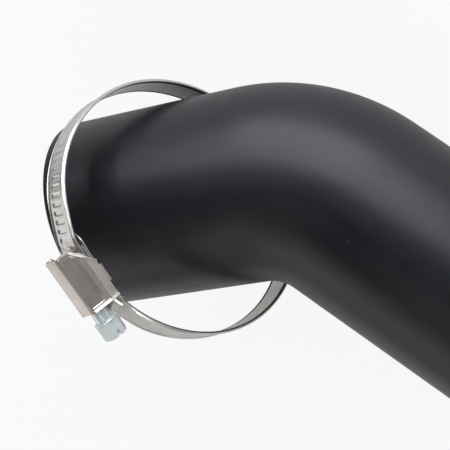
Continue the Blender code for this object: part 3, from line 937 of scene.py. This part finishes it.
# %% Sizes of the screw
WORM_LENGTH = 0.0118
WORM_GAP = 0.0003
THREAD_FADE = 0.0012
TIP_LENGTH = 0.0010
TIP_CHAMFER = 0.0004
NECK_STEP = 0.0003
NECK_DIAMETER = 0.0059
NECK_LENGTH = 0.0045
WASHER_DIAMETER = 0.0080
WASHER_THICK = 0.0005
HEAD_FLATS = 0.0070
HEAD_LENGTH = 0.0056
HEAD_CHAMFER_LENGTH = 0.0008
HEAD_CORNER_CUT = 0.0010
SLOT_WIDTH = 0.0011
SLOT_DEPTH = 0.0020
HEAD_TURN_DEG = 105.0
EDGE_BREAK = 0.0002
SCREW_EDGE_ROUND = 0.0001
SCREW_GIRTH = 0.02
SCREW_SIDES = 96
SCREW_SHARP_DEG = 35
WORM_STEPS = 96
HEAD_STEPS = 8
WORM_START = -WORM_LENGTH / 2
WORM_STOP = WORM_LENGTH / 2
RIDGE_HALF_SHARE = 0.32
RIDGE_SIDE_SHARE = 0.16
print("head across flats", HEAD_FLATS, "and worm across crests", WORM_CREST)

# %% [markdown]
# The ridge of the worm follows a spiral, which moves along by one pitch in one turn. The
# corners of the hexagon are cut back on a curve near its end, as on a turned head.

# %% Rings of the screw


def worm_radius(along, angle):
    phase = (along / THREAD_PITCH - angle / (2 * math.pi)) % 1.0
    ridge = min(max((RIDGE_HALF_SHARE - abs(phase - 0.5)) / RIDGE_SIDE_SHARE, 0.0), 1.0)
    fade = smooth_step((along - WORM_START) / THREAD_FADE) * smooth_step((WORM_STOP - along) / THREAD_FADE)
    return WORM_ROOT / 2 + (WORM_CREST - WORM_ROOT) / 2 * ridge * fade


def hexagon_radius(angle):
    third = math.pi / 3
    return HEAD_FLATS / 2 / math.cos((angle + third / 2) % third - third / 2)


def screw_rows():
    """Place along, largest radius, and which of round, worm or hexagon the screw is there."""
    root, neck, washer = WORM_ROOT / 2, NECK_DIAMETER / 2, WASHER_DIAMETER / 2
    corner = HEAD_FLATS / 2 / math.cos(math.pi / 6)
    tip = WORM_START - TIP_LENGTH
    shoulder = HOUSING_LENGTH / 2 + NECK_LENGTH
    head = shoulder + WASHER_THICK
    end = head + HEAD_LENGTH
    rows = [(tip, root - TIP_CHAMFER, "round"), (tip + TIP_CHAMFER, root, "round")]
    for i in range(WORM_STEPS + 1):
        rows.append((WORM_START + WORM_LENGTH * i / WORM_STEPS, WORM_CREST / 2, "worm"))
    rows += [(WORM_STOP + NECK_STEP, neck, "round"), (shoulder, neck, "round")]
    for face, way, turns in ((shoulder, 1, (0, 30, 60, 90)), (head, -1, (90, 60, 30, 0))):
        for turn in turns:
            out = EDGE_BREAK * math.sin(math.radians(turn))
            back = EDGE_BREAK * (1 - math.cos(math.radians(turn)))
            rows.append((face + way * back, washer - EDGE_BREAK + out, "round"))
    for step in range(HEAD_STEPS + 1):
        along = head + (HEAD_LENGTH - HEAD_CHAMFER_LENGTH) * step / HEAD_STEPS
        rows.append((along, corner, "hexagon"))
    for step in range(1, HEAD_STEPS + 1):
        share = step / HEAD_STEPS
        reach = corner - HEAD_CORNER_CUT * share ** 1.5
        rows.append((end - HEAD_CHAMFER_LENGTH * (1 - share), reach, "hexagon"))
    return rows, end


def screw_ring(along, radius, kind):
    ring = []
    for i in range(SCREW_SIDES):
        angle = 2 * math.pi * i / SCREW_SIDES
        reach = radius
        if kind == "worm":
            reach = worm_radius(along, angle)
        elif kind == "hexagon":
            reach = min(hexagon_radius(angle), radius)
        ring.append(Vector((reach * math.cos(angle), reach * math.sin(angle), along)))
    return ring


print("screw in", len(screw_rows()[0]), "rings")

# %% Turning and slotting the screw


def cut_slot(screw, place, end):
    """Cuts the slot across the head, turns the cut into the mesh, and removes the cutter."""
    box = bmesh.new()
    bmesh.ops.create_cube(box, size=1.0)
    size = Matrix.Diagonal((HEAD_FLATS * 1.5, SLOT_WIDTH, SLOT_DEPTH * 2, 1.0))
    bmesh.ops.transform(box, matrix=Matrix.Translation((0, 0, end)) @ size, verts=box.verts[:])
    cutter = finish_mesh("slot_cutter", box, place, SCREW_SHARP_DEG)
    cut = screw.modifiers.new("slot", "BOOLEAN")
    cut.operation = "DIFFERENCE"
    cut.solver = "EXACT"
    cut.object = cutter
    bpy.context.view_layer.update()
    graph = bpy.context.evaluated_depsgraph_get()
    slotted = bpy.data.meshes.new_from_object(screw.evaluated_get(graph))
    screw.modifiers.clear()
    screw.data = slotted
    bpy.data.objects.remove(cutter, do_unlink=True)


def make_screw():
    rows, end = screw_rows()
    side = housing_along.cross(housing_out)
    height = BAND_THICK + SOLID_LAYER_GAP + WORM_GAP + WORM_CREST / 2
    axis = housing_middle + housing_out * height
    place = CLAMP @ standing_at(housing_out, side, housing_along, axis) @ turned(HEAD_TURN_DEG, "Z")
    rings = [screw_ring(*row) for row in rows]
    along = [row[0] for row in rows]
    around = [SCREW_GIRTH * i / SCREW_SIDES for i in range(SCREW_SIDES + 1)]
    skin = skin_of_rings(rings, along, around, closed=False)
    screw = finish_mesh("worm_screw", skin, place, SCREW_SHARP_DEG)
    cut_slot(screw, place, end)
    round_edges(screw, SCREW_EDGE_ROUND, 40)
    return screw


screw = make_screw()
carry(screw, "screw", "zinc_plated_steel", zinc_steel, "clamp_screw")

# %% [markdown]
# The photograph was taken on a white sweep, so the floor and the backdrop are pale and
# plain. The camera sees them almost white, and the small share of lit paint that is left
# keeps the shadow of the object. Reflections see less of the white and more of the lit
# paint, so that the metal keeps its dark and light sides. Both belong to the stage.

# %% Floor and backdrop
STAGE_RADIUS = 3.0
STAGE_SIDES = 96
BACKDROP_HEIGHT = 1.4
STAGE_PAINT = (0.68, 0.68, 0.68, 1.0)


def build_white_stage(name, camera_share, mirror_share):
    """White for the camera and in reflections, each to its own share, and lit like paint for the rest."""
    made, tree, shader = new_finish(name)
    shader.inputs["Base Color"].default_value = STAGE_PAINT
    shader.inputs["Roughness"].default_value = 0.9
    glow = add_node(tree, "ShaderNodeEmission", -200, -300)
    glow.inputs["Color"].default_value = (1.0, 1.0, 1.0, 1.0)
    glow.inputs["Strength"].default_value = 1.0
    path = add_node(tree, "ShaderNodeLightPath", -800, 300)
    bounced = (path.outputs["Is Glossy Ray"], path.outputs["Is Transmission Ray"])
    mirrored = maths(tree, "MAXIMUM", -600, 200, *bounced)
    mirrored = maths(tree, "MULTIPLY", -400, 200, mirrored, mirror_share)
    direct = maths(tree, "MULTIPLY", -400, 400, path.outputs["Is Camera Ray"], camera_share)
    share = maths(tree, "MAXIMUM", -200, 300, direct, mirrored)
    mix = add_node(tree, "ShaderNodeMixShader", 150, 100)
    tree.links.new(share, mix.inputs[0])
    tree.links.new(shader.outputs[0], mix.inputs[1])
    tree.links.new(glow.outputs[0], mix.inputs[2])
    tree.links.new(mix.outputs[0], tree.nodes["Material Output"].inputs["Surface"])
    return made


def make_stage():
    disc = bmesh.new()
    bmesh.ops.create_circle(disc, cap_ends=True, segments=STAGE_SIDES, radius=STAGE_RADIUS)
    floor = finish_mesh("floor", disc, Matrix.Identity(4), sharp_deg=30)
    floor.data.materials.append(build_white_stage("white_floor", camera_share=0.9, mirror_share=0.3))
    tube = bmesh.new()
    bmesh.ops.create_cone(
        tube,
        cap_ends=False,
        segments=STAGE_SIDES,
        radius1=STAGE_RADIUS,
        radius2=STAGE_RADIUS,
        depth=BACKDROP_HEIGHT,
    )
    lift = Matrix.Translation((0, 0, BACKDROP_HEIGHT / 2))
    wall = finish_mesh("backdrop", tube, lift, sharp_deg=60)
    wall.data.materials.append(build_white_stage("white_backdrop", camera_share=0.95, mirror_share=0.12))


make_stage()
print("stage ready")

# %% [markdown]
# Black rubber is drawn by its reflections. One large soft lamp, low on the +Y side, lays
# the wide sheen along the hose, and a dim one on the other side lays a fainter sheen along
# its lower half. A third lights the metal from a side that the rubber doesn't reflect
# towards the camera, and a low one at the clamped end lights the strip and the roof of the
# housing. The world stays dim, so the rest of the rubber stays dark.

# %% Lamps
LAMP_DISTANCE = 1.6
LAMP_TARGET = Vector((0.0, 0.0, 0.04))
COOL_WHITE = (0.90, 0.95, 1.0)
WORLD_STRENGTH = 0.08


def soft_lamp(name, heading_deg, height_deg, wide, tall, brightness, colour=(1.0, 1.0, 1.0)):
    """A soft lamp at a heading and a height, with the brightness that its face shows the object."""
    heading, height = math.radians(heading_deg), math.radians(height_deg)
    level = math.cos(height)
    away = Vector((level * math.cos(heading), level * math.sin(heading), math.sin(height)))
    data = bpy.data.lights.new(name, "AREA")
    data.shape = "RECTANGLE"
    data.size = wide
    data.size_y = tall
    data.energy = brightness * math.pi * wide * tall
    data.color = colour
    lamp = bpy.data.objects.new(name, data)
    lamp.location = LAMP_TARGET + away * LAMP_DISTANCE
    lamp.rotation_euler = (-away).to_track_quat("-Z", "Y").to_euler()
    bpy.context.scene.collection.objects.link(lamp)


world = bpy.data.worlds.new("studio")
world.use_nodes = True
dim_air = world.node_tree.nodes["Background"]
dim_air.inputs["Color"].default_value = (*COOL_WHITE, 1.0)
dim_air.inputs["Strength"].default_value = WORLD_STRENGTH
bpy.context.scene.world = world
soft_lamp("sheen_lamp", 72.0, 29.0, wide=1.75, tall=1.5, brightness=3.9, colour=COOL_WHITE)
soft_lamp("room_lamp", 293.0, 44.0, wide=1.1, tall=1.1, brightness=2.2)
soft_lamp("side_lamp", 229.0, 28.0, wide=1.1, tall=0.9, brightness=0.85)
soft_lamp("rim_lamp", 189.0, 13.0, wide=1.5, tall=0.5, brightness=1.0)
print("lamps ready")

# %% [markdown]
# The camera looks steeply down on the inlet end, as in the photograph. Its lens and its
# place come from matching outline points of the hose and the clamp, so it is placed in the
# hose's own layout.

# %% Camera
CAMERA_PLACE = Vector((0.13039, 0.00023, 0.26953))
CAMERA_TURN_DEG = (-5.7098, 16.6202, -10.8879)
CAMERA_LENS = 64.0
camera_data = bpy.data.cameras.new("photo_camera")
camera_data.lens = CAMERA_LENS
camera_data.sensor_width = 36.0
camera_data.clip_start = 0.01
camera_data.clip_end = 20.0
camera = bpy.data.objects.new("photo_camera", camera_data)
camera_turn = Euler([math.radians(angle) for angle in CAMERA_TURN_DEG])
camera.matrix_world = HOSE @ Matrix.Translation(CAMERA_PLACE) @ camera_turn.to_matrix().to_4x4()
bpy.context.scene.collection.objects.link(camera)
bpy.context.scene.camera = camera
bpy.context.scene.view_settings.view_transform = "Standard"
print("camera at", [round(value, 4) for value in camera.matrix_world.translation])
